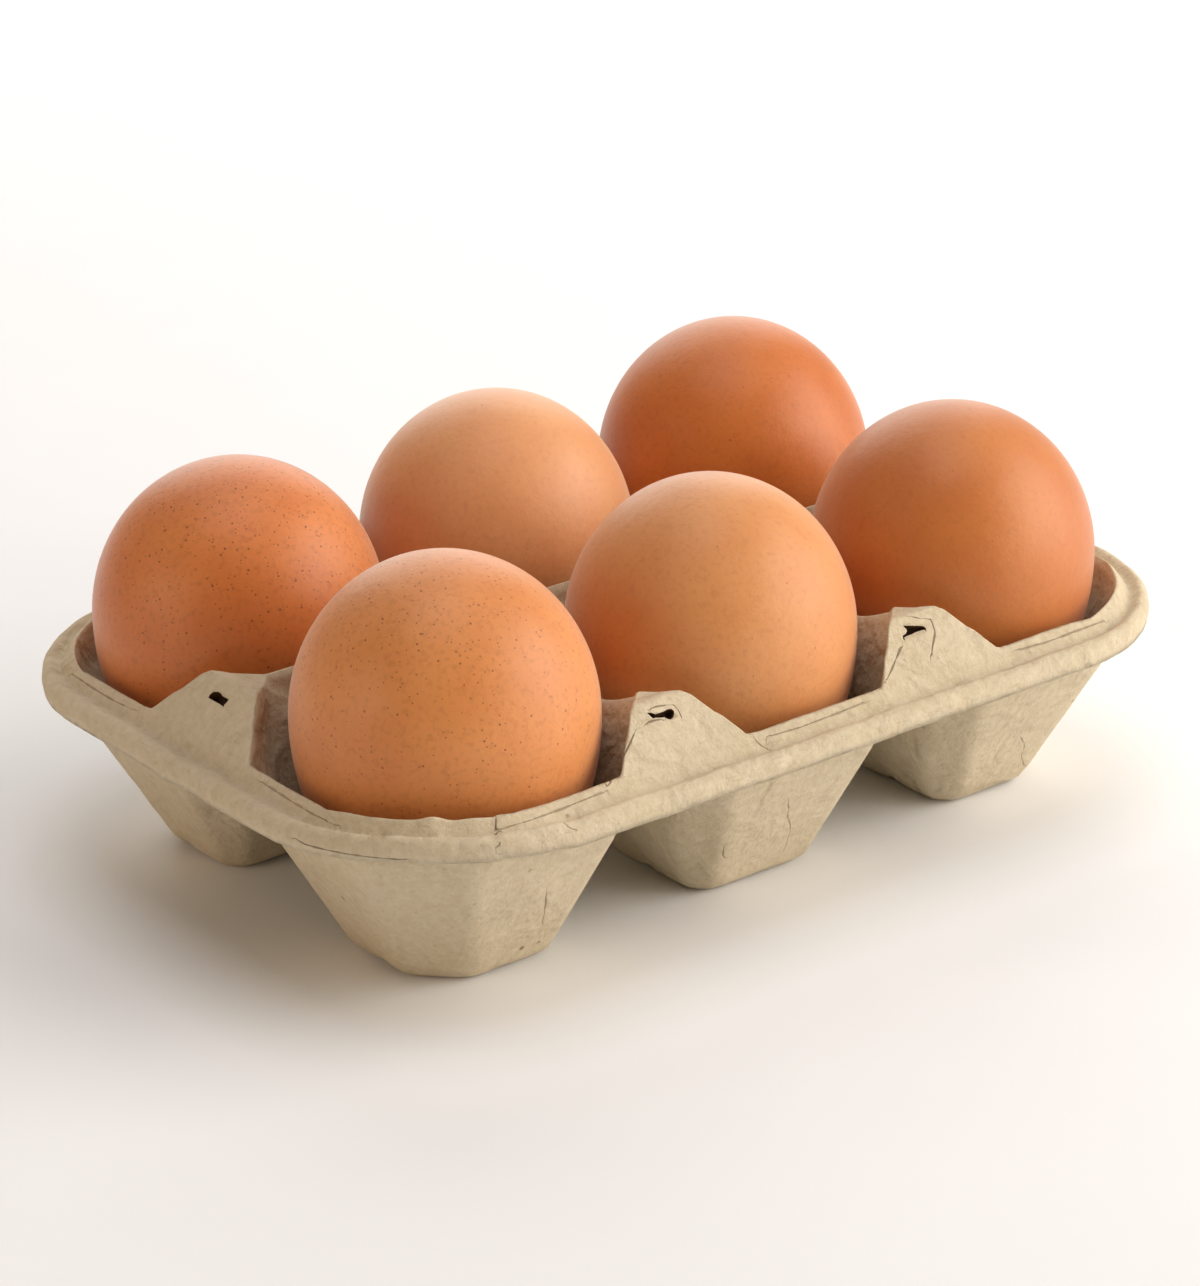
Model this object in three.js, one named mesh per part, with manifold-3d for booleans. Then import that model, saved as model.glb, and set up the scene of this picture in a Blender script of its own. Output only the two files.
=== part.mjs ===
// Six-egg carton: a lidless moulded-pulp tray of two rows of three cups, with a hen's egg
// standing blunt end up in each cup. Millimetres, +Z up, feet on z = 0, origin at the
// middle of the footprint, +X along the rows of three, -Y towards the front row.
import * as THREE from 'three';
import Module from 'manifold-3d';

// ---------------------------------------------------------------- driving dimensions
const PITCH = { x: 48.5, y: 51.5 };      // between cup axes
const COLUMNS = [-1, 0, 1];
const ROWS = [-0.5, 0.5];
const SHEET = 1.8;                       // thickness of the pressed pulp

const CUP = {
  floor: 8.6,                            // half-width of the inside of the flat floor
  foot: 10.6,                            // half-width where the inner wall leaves the floor
  flare: 0.51,                           // outward run of the wall for each mm of rise
  throat: 24.3,                          // half-width at which the wall turns upright
  uprightRun: 0.12,                      // run per mm of rise above the throat
  facet: [0.68, -2.28],                  // scale and shift of |x| + |y| for the facet across a corner,
  facetTop: [1.04, -14.1],               // its steeper upper part,
  trayFacet: [0.62, 1.25],               // and the wider facet at a corner of the tray
  hem: 24.7, hemRise: 2.5,               // that one turns up here, along the tray's rounded outline
};
const RIM = {
  margin: 30.9,                          // from an outer cup axis to the edge of the sheet
  cornerRadius: 31.5,
  edgeZ: 29.0,                           // top of the sheet at its cut edge
  beadIn: 1.7, beadZ: 30.2,              // crest of the outer bead, measured in from the edge
  grooveIn: 3.9, grooveZ: 29.3,          // bottom of the groove behind the bead
  slope: 1.09,                           // rise per mm of the outward-facing slope behind it
  lipZ: 31.9,                            // flat top of the lip in front of each egg
  lipHalf: 11.0,                         // half-length of that flat stretch
  lipIn: 5.3,                            // lip's inner edge round a corner, measured in from the edge
  cornerSqueeze: 0.3,                    // how much narrower the profile is round the corners
};
const RIDGE = {
  saddleZ: 33.8, peakZ: 38.4,            // between two eggs, and at the gable's top edge
  rowSaddleZ: 35.6, postZ: 38.0,         // between the rows, and on the posts between four eggs
  halfSaddle: 4.0, run: 15.0,            // flat half-length of a saddle, and its run up to a peak
  round: 1.5, flank: 3.0,                // crest radius and steepness of the flanks
};
// Slots through the gables near their tops: along, across, depth, and how far out of the cup axes.
const VENT = { length: 4.6, width: 2.2, depth: 12, out: 20.1, z: 36.5 };
const FRONT_VENTS = [-25.1, 23.1];       // x of the slots in the two front gables
const LEFT_VENT = 2.6;                   // y of the slot in the left end's gable

const EGG = { lower: 32.8, taper: 0.10, equatorZ: 36.7, rings: 14, sides: 24 };
const EGGS = [
  // name, column, row, radius at the equator, height of the blunt end, lean towards x, y, shell colour
  ['egg_front_left', -1, -0.5, 22.3, 23.8, 0.3, -0.2, '#d1803f'],
  ['egg_front_middle', 0, -0.5, 21.8, 23.5, 0.4, -0.2, '#dd925a'],
  ['egg_front_right', 1, -0.5, 22.0, 23.4, 0.0, -0.1, '#cf7a41'],
  ['egg_back_left', -1, 0.5, 22.1, 23.6, -0.3, 0.2, '#c97440'],
  ['egg_back_middle', 0, 0.5, 21.6, 22.9, -0.4, 0.3, '#e0a074'],
  ['egg_back_right', 1, 0.5, 22.1, 23.9, -0.7, 0.6, '#c36d33'],
];
const EGG_GAP = 0.35;                    // least clearance between a shell and the pulp

const HALF = { x: PITCH.x + RIM.margin, y: PITCH.y / 2 + RIM.margin };

// ---------------------------------------------------------------- height of the sheet's top
const clamp01 = (t) => Math.min(1, Math.max(0, t));
const ease = (t) => clamp01(t) ** 2 * (3 - 2 * clamp01(t));
// The smaller (or, with a negative round, the larger) of two heights, blended over |round| mm.
const softMin = (a, b, round) => {
  const mix = clamp01(0.5 + (b - a) / (2 * round));
  return b + (a - b) * mix - round * mix * (1 - mix);
};

// Distance from a cup's axis in its eight-sided section: four faces and a facet across each corner.
function faceDistance(dx, dy, trayCorner) {
  const facet = ([scale, shift]) => scale * (dx + dy) + shift;
  const hem = CUP.hem + CUP.hemRise * (RIM.lipIn - inset(PITCH.x + dx, PITCH.y / 2 + dy));
  const corner = trayCorner
    ? Math.max(facet(CUP.trayFacet), hem)
    : Math.max(facet(CUP.facet), facet(CUP.facetTop));
  return -softMin(softMin(-dx, -dy, 0.8), -corner, 0.8);
}

// Inside of a cup: flat floor, straight flaring wall, then a nearly upright collar.
function cupHeight(dx, dy, trayCorner) {
  const n = faceDistance(dx, dy, trayCorner);
  const wall = SHEET + (n - CUP.foot) / CUP.flare + (CUP.foot - CUP.floor) * 0.4;
  const collar = SHEET + (CUP.throat - CUP.foot) / CUP.flare + (n - CUP.throat) / CUP.uprightRun;
  return softMin(SHEET, softMin(wall, collar, -0.8), -1.2);
}

// Underside of one egg, which the sheet stays below; nothing beyond the shell's radius.
function eggFloor(dx, dy, radius) {
  const r = Math.hypot(dx, dy) / (radius + EGG_GAP);
  return r >= 1 ? Infinity : EGG.equatorZ - EGG_GAP - EGG.lower * Math.sqrt(1 - r * r);
}

// Distance in from the edge of the rounded rectangular outline.
function inset(x, y) {
  const px = Math.abs(x) - (HALF.x - RIM.cornerRadius);
  const py = Math.abs(y) - (HALF.y - RIM.cornerRadius);
  const outside = Math.hypot(Math.max(px, 0), Math.max(py, 0));
  return RIM.cornerRadius - outside - Math.min(Math.max(px, py), 0);
}

// Rim from the cut edge inwards: bead, groove, then the slope that forms lip and gables.
function rimHeight(x, y) {
  const corner = Math.min(Math.abs(x) - PITCH.x, Math.abs(y) - PITCH.y / 2);
  const d = inset(x, y) * (1 + RIM.cornerSqueeze * ease(corner / 16));
  if (d < RIM.beadIn) {
    return RIM.edgeZ + (RIM.beadZ - RIM.edgeZ) * Math.sin((d / RIM.beadIn) * Math.PI / 2);
  }
  if (d < RIM.grooveIn) {
    return RIM.beadZ + (RIM.grooveZ - RIM.beadZ) * ease((d - RIM.beadIn) / (RIM.grooveIn - RIM.beadIn));
  }
  return RIM.grooveZ + RIM.slope * (d - RIM.grooveIn);
}

// Crest of a ridge at a distance from the nearest point between two eggs.
const crest = (along, low, high) => low + (high - low) * ease((along - RIDGE.halfSaddle) / RIDGE.run);
const flank = (off) => RIDGE.flank * (Math.hypot(off, RIDGE.round) - RIDGE.round);

// Distances to the nearest cup axis and to the ridge lines between cups.
function place(x, y) {
  const column = Math.max(-1, Math.min(1, Math.round(x / PITCH.x)));
  const row = y < 0 ? ROWS[0] : ROWS[1];
  return {
    dx: Math.abs(x - column * PITCH.x),
    dy: Math.abs(y - row * PITCH.y),
    outerX: Math.abs(x) > PITCH.x,
    outerY: Math.abs(y) > PITCH.y / 2,
  };
}

function topHeight(x, y) {
  const { dx, dy, outerX, outerY } = place(x, y);
  const columnLow = crest(dy, RIDGE.saddleZ, outerY ? RIDGE.peakZ : RIDGE.postZ);
  const rowLow = crest(dx, outerX ? RIDGE.saddleZ : RIDGE.rowSaddleZ, outerX ? RIDGE.peakZ : RIDGE.postZ);
  const columnRidge = outerX ? -Infinity : columnLow - flank(PITCH.x / 2 - dx);
  const rowRidge = outerY ? -Infinity : rowLow - flank(PITCH.y / 2 - dy);

  // The collar stands up to the ridge tops, and only as high as the lip in front of an egg.
  const lipX = RIM.lipZ + RIM.slope * Math.max(0, dx - RIM.lipHalf);
  const lipY = RIM.lipZ + RIM.slope * Math.max(0, dy - RIM.lipHalf);
  let cap = Math.min(RIDGE.peakZ, Math.max(columnLow, rowLow));
  if (outerY) cap = Math.min(cap, outerX ? RIM.lipZ : lipX);
  if (outerX) cap = Math.min(cap, outerY ? RIM.lipZ : lipY);

  const cup = Math.max(cupHeight(dx, dy, outerX && outerY), columnRidge, rowRidge);
  let z = softMin(softMin(cup, cap, 0.8), rimHeight(x, y), 0.5);
  for (const [, column, row, radius, , leanX, leanY] of EGGS) {
    z = Math.min(z, eggFloor(x - column * PITCH.x - leanX, y - row * PITCH.y - leanY, radius));
  }
  return Math.max(z, SHEET);
}

// Underside: the lowest surface that a ball of the sheet's thickness rolls out under the top.
const BALL = [[0, 0, 1]];
for (const [reach, turns] of [[0.5, 6], [0.8, 10], [0.96, 14]]) {
  for (let i = 0; i < turns; i++) {
    const a = (2 * Math.PI * i) / turns;
    BALL.push([reach * Math.cos(a), reach * Math.sin(a), Math.sqrt(1 - reach * reach)]);
  }
}
const underHeight = (x, y) =>
  Math.max(0, Math.min(...BALL.map(([u, v, w]) => topHeight(x + SHEET * u, y + SHEET * v) - SHEET * w)));

// ---------------------------------------------------------------- the tray
// Rings round each cup's axis, by face distance. Towards a neighbouring cup a ring stays
// `clear` of the ridge line, so the last ones run along the ridge's flank.
const RINGS = [
  { n: 4.5 },
  { n: CUP.floor },
  { n: 11.8 },
  { n: 17.0 },
  { n: 21.5 },
  { n: CUP.throat, clear: 1.3 },
  { n: CUP.throat + 1.2, clear: 0.6 },
];
const LAST = RINGS.length - 1;
const RIM_INSETS = [RIM.grooveIn, RIM.beadIn, 0];

// Grid lines on one side of a cup, from its axis outwards. A line follows a ring, and the line
// along a ridge also keeps to the last ring's spacing; a line on the rim has its inset instead.
function sideLines(pitch, outer) {
  const far = outer ? Infinity : pitch / 2;
  const rings = RINGS.map(({ n, clear = 0 }, ring) => ({ at: Math.min(n, far - clear), ring, far }));
  if (!outer) return [...rings, { ...rings[LAST], ridge: true }];
  return [...rings, ...RIM_INSETS.map((rim) => ({ at: RIM.margin - rim, rim, far }))];
}

// Lines across the tray from one edge to the other; a shared ridge line is listed once.
function gridLines(cups, pitch) {
  return cups.flatMap((cup, i) => {
    const place = (side) => (line) => ({ ...line, centre: cup * pitch, side });
    const last = i === cups.length - 1;
    return [
      ...sideLines(pitch, i === 0).reverse().map(place(-1)),
      { at: 0, ring: -1, far: Infinity, centre: cup * pitch, side: 1 },
      ...sideLines(pitch, last).slice(0, last ? undefined : -1).map(place(1)),
    ];
  });
}

// Where two grid lines meet: on the rounded rim, or on a cup's ring and the ridge beside it.
function meet(lineX, lineY) {
  const p = new THREE.Vector2(lineX.at, lineY.at);
  const onRim = lineX.rim !== undefined || lineY.rim !== undefined;
  const outerCorner = lineX.far === Infinity && lineY.far === Infinity;
  const rim = Math.min(lineX.rim ?? RIM.margin, lineY.rim ?? RIM.margin);
  const { n, clear = 0 } = RINGS[Math.max(lineX.ring ?? 0, lineY.ring ?? 0, 0)];
  const missBy = onRim
    ? () => inset(PITCH.x + p.x, PITCH.y / 2 + p.y) - rim
    : () => n - faceDistance(p.x, p.y, outerCorner);
  if ((onRim ? outerCorner : true) && p.length() > 0) {
    for (let i = 0; i < 60; i++) p.multiplyScalar(1 + (0.35 * missBy()) / p.length());
  }
  p.x = lineX.ridge ? lineX.far : Math.min(p.x, lineX.far - clear);
  p.y = lineY.ridge ? lineY.far : Math.min(p.y, lineY.far - clear);
  return [lineX.centre + lineX.side * p.x, lineY.centre + lineY.side * p.y];
}

// A closed skin over the grid: top, underside, and the cut edge that joins them.
function sheetGeometry() {
  const xs = gridLines(COLUMNS, PITCH.x);
  const ys = gridLines(ROWS, PITCH.y);
  const nx = xs.length;
  const ny = ys.length;
  const positions = [];
  for (const height of [topHeight, underHeight]) {
    for (const lineY of ys) {
      for (const lineX of xs) {
        const [x, y] = meet(lineX, lineY);
        positions.push(x, y, height(x, y));
      }
    }
  }
  const index = [];
  const quad = (a, b, c, d) => index.push(a, b, c, a, c, d);
  const under = nx * ny;
  for (let j = 0; j < ny - 1; j++) {
    for (let i = 0; i < nx - 1; i++) {
      const corners = [j * nx + i, j * nx + i + 1, (j + 1) * nx + i + 1, (j + 1) * nx + i];
      // each quad is split along the line that points at its cup's axis
      if (xs[i].side !== ys[j].side) corners.push(corners.shift());
      const [a, b, c, d] = corners;
      quad(a, b, c, d);
      quad(under + a, under + d, under + c, under + b);
    }
  }
  for (let i = 0; i < nx - 1; i++) {
    const far = (ny - 1) * nx + i;
    quad(i, under + i, under + i + 1, i + 1);
    quad(far, far + 1, under + far + 1, under + far);
  }
  for (let j = 0; j < ny - 1; j++) {
    const a = j * nx;
    const b = a + nx - 1;
    quad(a, a + nx, under + a + nx, under + a);
    quad(b, under + b, under + b + nx, b + nx);
  }
  const geometry = new THREE.BufferGeometry();
  geometry.setAttribute('position', new THREE.Float32BufferAttribute(positions, 3));
  geometry.setIndex(index);
  return geometry;
}

// The sheet with a slot cut down through each vented gable.
async function trayGeometry() {
  const wasm = await Module();
  wasm.setup();
  const { Manifold, Mesh } = wasm;
  const sheet = sheetGeometry();
  const vertProperties = new Float32Array(sheet.attributes.position.array);
  const triVerts = new Uint32Array(sheet.index.array);
  const cut = (length, width, x, y) =>
    Manifold.cube([length, width, VENT.depth], true).translate([x, y, VENT.z]);
  const slots = [
    ...FRONT_VENTS.map((x) => cut(VENT.length, VENT.width, x, -(PITCH.y / 2 + VENT.out))),
    cut(VENT.width, VENT.length, -(PITCH.x + VENT.out), LEFT_VENT),
  ];
  const tray = new Manifold(new Mesh({ numProp: 3, vertProperties, triVerts }));
  const vented = tray.subtract(Manifold.union(slots)).getMesh();
  const geometry = new THREE.BufferGeometry();
  geometry.setAttribute('position', new THREE.BufferAttribute(vented.vertProperties, 3));
  geometry.setIndex(new THREE.BufferAttribute(vented.triVerts, 1));
  geometry.computeVertexNormals();
  return geometry;
}

// ---------------------------------------------------------------- the eggs
// Half-profile from the pointed end up to the blunt end, as radius and height about the equator.
function eggGeometry(radius, blunt) {
  const profile = [];
  for (let i = 0; i <= EGG.rings; i++) {
    const t = -Math.PI / 2 + (Math.PI * i) / EGG.rings;
    const down = Math.min(0, Math.sin(t));
    const r = i % EGG.rings === 0 ? 0 : radius * Math.cos(t) * (1 - EGG.taper * down * down);
    profile.push(new THREE.Vector2(r, (t < 0 ? EGG.lower : blunt) * Math.sin(t)));
  }
  return new THREE.LatheGeometry(profile, EGG.sides).rotateX(Math.PI / 2);
}

// ---------------------------------------------------------------- assembly
const carton = new THREE.Group();

const pulp = new THREE.MeshStandardMaterial({ color: '#cdb997', roughness: 0.95, metalness: 0 });
const tray = new THREE.Mesh(await trayGeometry(), pulp);
tray.name = 'pulp_tray';
carton.add(tray);

for (const [name, column, row, radius, blunt, leanX, leanY, color] of EGGS) {
  const shell = new THREE.MeshStandardMaterial({ color, roughness: 0.5, metalness: 0 });
  const egg = new THREE.Mesh(eggGeometry(radius, blunt), shell);
  egg.name = name;
  egg.position.set(column * PITCH.x + leanX, row * PITCH.y + leanY, EGG.equatorZ);
  carton.add(egg);
}

export default carton;
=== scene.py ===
"""Looks of a lidless six-egg carton: one sheet of pressed paper pulp with six cups, and six hen's eggs.

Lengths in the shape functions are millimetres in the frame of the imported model; meshes are in metres.
"""

import math

import bmesh
import bpy
import numpy as np
from mathutils import Matrix, Vector


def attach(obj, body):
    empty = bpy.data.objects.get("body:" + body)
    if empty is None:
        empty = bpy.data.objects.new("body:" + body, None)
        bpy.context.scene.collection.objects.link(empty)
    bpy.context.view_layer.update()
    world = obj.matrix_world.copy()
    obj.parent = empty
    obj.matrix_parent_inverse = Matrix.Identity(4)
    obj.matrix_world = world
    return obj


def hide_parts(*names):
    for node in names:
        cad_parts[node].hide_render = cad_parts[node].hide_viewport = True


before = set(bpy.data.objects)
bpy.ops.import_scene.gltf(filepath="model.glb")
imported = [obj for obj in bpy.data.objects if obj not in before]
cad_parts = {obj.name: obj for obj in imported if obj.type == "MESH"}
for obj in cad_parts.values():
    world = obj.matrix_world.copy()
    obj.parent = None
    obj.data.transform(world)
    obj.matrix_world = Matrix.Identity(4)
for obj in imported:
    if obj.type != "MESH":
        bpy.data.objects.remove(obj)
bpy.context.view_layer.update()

MM = 0.001

# ---------------------------------------------------------------- sizes of the carton
PITCH_X, PITCH_Y = 48.5, 51.5            # between cup axes
SHEET = 1.8                              # thickness of the pulp
FLOOR, FOOT, FLARE = 8.6, 10.6, 0.51     # half-widths of the floor and foot, and run per mm of rise
THROAT, UPRIGHT = 24.3, 0.12             # where the wall turns upright, and its run per mm above
FOOT_RISE = 0.4                          # lift of the wall at the foot, per mm out from the floor
WALL_OUT = 11.3                          # half-width of a cup's outside, carried down to the feet
FACET = (0.68, -2.28)                    # scale and shift of |x| + |y| for the facet across a corner,
FACET_TOP = (1.04, -14.1)                # its steeper upper part,
TRAY_FACET = (0.62, 1.25)                # and the wider facet at a corner of the tray,
HEM, HEM_RISE, LIP_IN = 24.7, 2.5, 5.3   # which turns up along the outline, this far in from it
MARGIN, CORNER = 30.9, 31.5              # outer cup axis to the sheet's edge, and corner radius
HALF_X, HALF_Y = PITCH_X + MARGIN, PITCH_Y / 2 + MARGIN
EDGE_Z, BEAD_IN, BEAD_Z = 29.0, 1.7, 30.2      # the cut edge, and inset and height of the bead
GROOVE_IN, GROOVE_Z, SLOPE = 3.9, 29.3, 1.09   # the groove, and the rise per mm inside it
LIP_Z, LIP_HALF = 31.9, 11.0             # height and half-length of the lip in front of an egg
SQUEEZE, SQUEEZE_RUN = 0.3, 16           # narrowing of the rim at the corners, and how far it comes in
SADDLE_Z, ROW_SADDLE_Z = 33.8, 35.6      # low part of a ridge, and between the two middle cups
PEAK_Z, POST_Z = 38.4, 38.0              # gables, and posts between four eggs
HALF_SADDLE, RUN = 4.0, 15.0             # half-length of the low part, and its run up to high
CREST_ROUND, FLANK = 1.5, 3.0            # rounding and steepness of a ridge's sides
NO_RIDGE = -1e3                          # height that leaves a ridge out
NOTCH_HALF, NOTCH_Z = 2.7, (1.6, 0.7)    # arches in the feet: half-width, and height facing x and y
# blends in mm: between a cup's walls, with a facet, with the collar, with the floor, ridges, rim
SOFT_WALLS, SOFT_FACET, SOFT_COLLAR, SOFT_FLOOR, SOFT_RIDGE, SOFT_RIM = 0.8, 0.45, 0.8, 1.2, 0.8, 0.5

EQUATOR_Z, EGG_LOWER = 36.7, 32.8        # height of an egg's widest ring, and its length below that
EGG_TAPER, EGG_GAP = 0.10, 0.35          # narrowing towards the pointed end, and gap to the pulp
EGG_AROUND, EGG_UP = 144, 96             # points round an egg, and steps from pole to pole
EGGS = {
    # node: column, row, radius, height of the blunt end, lean towards x and y
    "egg_front_left": (-1, -0.5, 22.3, 23.8, 0.3, -0.2),
    "egg_front_middle": (0, -0.5, 21.8, 23.5, 0.4, -0.2),
    "egg_front_right": (1, -0.5, 22.0, 23.4, 0.0, -0.1),
    "egg_back_left": (-1, 0.5, 22.1, 23.6, -0.3, 0.2),
    "egg_back_middle": (0, 0.5, 21.6, 22.9, -0.4, 0.3),
    "egg_back_right": (1, 0.5, 22.1, 23.9, -0.7, 0.6),
}


# ---------------------------------------------------------------- numpy helpers
def ease(t):
    """Smooth step: 0 below 0, 1 above 1, and 3t^2 - 2t^3 between."""
    t = np.clip(t, 0.0, 1.0)
    return t * t * (3 - 2 * t)


def soft_min(a, b, r):
    """Smaller of a and b, blended over r; a negative r gives the larger one."""
    mix = np.clip(0.5 + (b - a) / (2 * r), 0.0, 1.0)
    return b + (a - b) * mix - r * mix * (1 - mix)


def lumps(p, scale, seed):
    """Value noise in -1..1: random numbers on a cubic lattice of pitch scale, eased between corners."""
    lattice = np.random.default_rng(seed).uniform(-1, 1, (17, 17, 17))
    q = p / scale
    cell = np.floor(q).astype(int)
    f = ease(q - cell)
    total = np.zeros(p.shape[:-1])
    for corner in range(8):
        step = np.array([corner & 1, corner >> 1 & 1, corner >> 2 & 1])
        i, j, k = np.moveaxis((cell + step) % 17, -1, 0)
        total += lattice[i, j, k] * np.prod(np.where(step, f, 1 - f), axis=-1)
    return total


def mesh_object(name, points, faces, material):
    """A smooth mesh object at the origin, from points in millimetres and lists of corner indices."""
    mesh = bpy.data.meshes.new(name)
    mesh.from_pydata((points * MM).tolist(), [], faces)
    mesh.validate()
    mesh.materials.append(material)
    mesh.shade_smooth()
    piece = bpy.data.objects.new(name, mesh)
    bpy.context.scene.collection.objects.link(piece)
    return piece


# ---------------------------------------------------------------- height of the pulp sheet
def face_distance(dx, dy, at_corner):
    """Distance from a cup's axis in its eight-sided section: the largest of |x|, |y| and a facet's
    c (|x| + |y|) + d, which gives four faces with a facet across each corner. A tray corner's facet
    turns up where it nears the outline."""
    s = dx + dy
    hem = HEM + HEM_RISE * (LIP_IN - inset(PITCH_X + dx, PITCH_Y / 2 + dy))
    wide = np.maximum(TRAY_FACET[0] * s + TRAY_FACET[1], hem)
    plain = np.maximum(FACET[0] * s + FACET[1], FACET_TOP[0] * s + FACET_TOP[1])
    return -soft_min(soft_min(-dx, -dy, SOFT_WALLS), -np.where(at_corner, wide, plain), SOFT_FACET)


def inset(x, y):
    """Distance in from the edge of the rounded rectangular outline."""
    px, py = np.abs(x) - (HALF_X - CORNER), np.abs(y) - (HALF_Y - CORNER)
    outside = np.hypot(np.maximum(px, 0), np.maximum(py, 0))
    return CORNER - outside - np.minimum(np.maximum(px, py), 0)


def rim_height(x, y):
    """From the cut edge inwards: quarter-sine bead, eased groove, then a straight slope upwards."""
    corner = np.minimum(np.abs(x) - PITCH_X, np.abs(y) - PITCH_Y / 2)
    d = inset(x, y) * (1 + SQUEEZE * ease(corner / SQUEEZE_RUN))
    bead = EDGE_Z + (BEAD_Z - EDGE_Z) * np.sin(np.clip(d / BEAD_IN, -1, 1) * np.pi / 2)
    groove = BEAD_Z + (GROOVE_Z - BEAD_Z) * ease((d - BEAD_IN) / (GROOVE_IN - BEAD_IN))
    slope = GROOVE_Z + SLOPE * (d - GROOVE_IN)
    return np.where(d < BEAD_IN, bead, np.where(d < GROOVE_IN, groove, slope))


def crest(along, low, high):
    """Ridge height: low for a few millimetres between two eggs, then eased up to high."""
    return low + (high - low) * ease((along - HALF_SADDLE) / RUN)


def flank(off):
    """Fall of a ridge's side: a steep hyperbola with a small round crest."""
    return FLANK * (np.hypot(off, CREST_ROUND) - CREST_ROUND)


def top_height(x, y):
    """Height of the sheet's top at (x, y): cups, ridges, gables and rim, kept below the eggs."""
    column = np.clip(np.round(x / PITCH_X), -1, 1)
    row = np.where(y < 0, -0.5, 0.5)
    dx, dy = np.abs(x - column * PITCH_X), np.abs(y - row * PITCH_Y)
    outer_x, outer_y = np.abs(x) > PITCH_X, np.abs(y) > PITCH_Y / 2

    n = face_distance(dx, dy, outer_x & outer_y)
    wall = SHEET + (n - FOOT) / FLARE + (FOOT - FLOOR) * FOOT_RISE
    collar = SHEET + (THROAT - FOOT) / FLARE + (n - THROAT) / UPRIGHT
    cup = soft_min(SHEET, soft_min(wall, collar, -SOFT_COLLAR), -SOFT_FLOOR)

    column_top = crest(dy, SADDLE_Z, np.where(outer_y, PEAK_Z, POST_Z))
    row_top = crest(dx, np.where(outer_x, SADDLE_Z, ROW_SADDLE_Z), np.where(outer_x, PEAK_Z, POST_Z))
    column_ridge = np.where(outer_x, NO_RIDGE, column_top - flank(PITCH_X / 2 - dx))
    row_ridge = np.where(outer_y, NO_RIDGE, row_top - flank(PITCH_Y / 2 - dy))

    lip_x = LIP_Z + SLOPE * np.maximum(0, dx - LIP_HALF)
    lip_y = LIP_Z + SLOPE * np.maximum(0, dy - LIP_HALF)
    cap = np.minimum(PEAK_Z, np.maximum(column_top, row_top))
    cap = np.where(outer_y, np.minimum(cap, np.where(outer_x, LIP_Z, lip_x)), cap)
    cap = np.where(outer_x, np.minimum(cap, np.where(outer_y, LIP_Z, lip_y)), cap)

    ridged = np.maximum(cup, np.maximum(column_ridge, row_ridge))
    z = soft_min(soft_min(ridged, cap, SOFT_RIDGE), rim_height(x, y), SOFT_RIM)
    for across, back, radius, _, lean_x, lean_y in EGGS.values():
        r = np.hypot(x - across * PITCH_X - lean_x, y - back * PITCH_Y - lean_y) / (radius + EGG_GAP)
        below_egg = EQUATOR_Z - EGG_GAP - EGG_LOWER * np.sqrt(np.clip(1 - r * r, 0, 1))
        z = np.where(r < 1, np.minimum(z, below_egg), z)
    return np.maximum(z, SHEET)


def under_height(x, y):
    """Underside: the lowest surface that a ball as thick as the sheet rolls out below the top."""
    z = top_height(x, y) - SHEET
    for share, turns in ((0.35, 8), (0.65, 12), (0.85, 16), (0.97, 20)):
        fall = SHEET * math.sqrt(1 - share * share)
        for a in np.arange(turns) * 2 * np.pi / turns:
            beside = top_height(x + SHEET * share * np.cos(a), y + SHEET * share * np.sin(a))
            z = np.minimum(z, beside - fall)
    return np.maximum(z, foot_notch(x, y))


def foot_notch(x, y):
    """Small arches in the foot's edge at the middle of each side: a parabola across, eased in
    from the floor's edge, lower on the sides along the rows than on the others."""
    dx = np.abs(x - np.clip(np.round(x / PITCH_X), -1, 1) * PITCH_X)
    dy = np.abs(np.abs(y) - PITCH_Y / 2)
    arch_y = NOTCH_Z[1] * np.maximum(1 - (dx / NOTCH_HALF) ** 2, 0) * ease((dy - FLOOR) / 2)
    arch_x = NOTCH_Z[0] * np.maximum(1 - (dy / NOTCH_HALF) ** 2, 0) * ease((dx - FLOOR) / 2)
    return np.minimum(np.maximum(arch_x, arch_y), top_height(x, y) - 1.0)


# ---------------------------------------------------------------- the sheet's grid
LAST = 25.8                              # the last ring round a cup, at the top of its collar
RIM_FROM = 4.5                           # inset at which the rim's own lines begin
CROWD_FROM, STOP_SHORT = 21, 0.15        # ring from which rings crowd up, and where they end at a ridge
STEPS, STEP = 60, 0.35                   # of the search for a distance along a direction
FEET_TOP, EDGE_PROUD = 2.5, 0.22         # no unevenness below this; middle of the cut edge, outwards
RINGS = np.concatenate([np.linspace(0, 8.4, 5), np.linspace(9.2, 12.4, 5), np.linspace(13.3, 22.2, 10),
                        np.linspace(22.8, LAST, 9)])
GAPS = np.linspace(0, 1, 12)[1:]
RIM_INSETS = np.concatenate([np.linspace(RIM_FROM, 3.2, 4), np.linspace(2.8, 0.25, 8)])


def lines(cups, pitch):
    """Grid lines across the tray, one row each: cup axis, side, ring, share of the way from the last
    ring to the ridge or rim, inset on the rim, whether the side is an outer one."""
    rows = []
    for i, cup in enumerate(cups):
        for side in (-1, 1):
            outer = (i == 0 and side < 0) or (i == len(cups) - 1 and side > 0)
            half = [(cup * pitch, side, ring, 0, RIM_FROM, outer) for ring in RINGS]
            half += [(cup * pitch, side, LAST, gap, RIM_FROM, outer) for gap in GAPS]
            if outer:
                half += [(cup * pitch, side, LAST, 1, rim, outer) for rim in RIM_INSETS[1:]]
            if side < 0:
                rows += half[::-1]
            else:
                rows += half[1:] if outer else half[1:-1]
    return np.array(rows, float).T


def reach(ux, uy, miss):
    """Distance along the direction (ux, uy) at which miss(x, y) is zero, by repeated small steps."""
    s = np.full(ux.shape, 10.0)
    for _ in range(STEPS):
        s = np.maximum(s + STEP * miss(s * ux, s * uy), 0)
    return s


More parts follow.
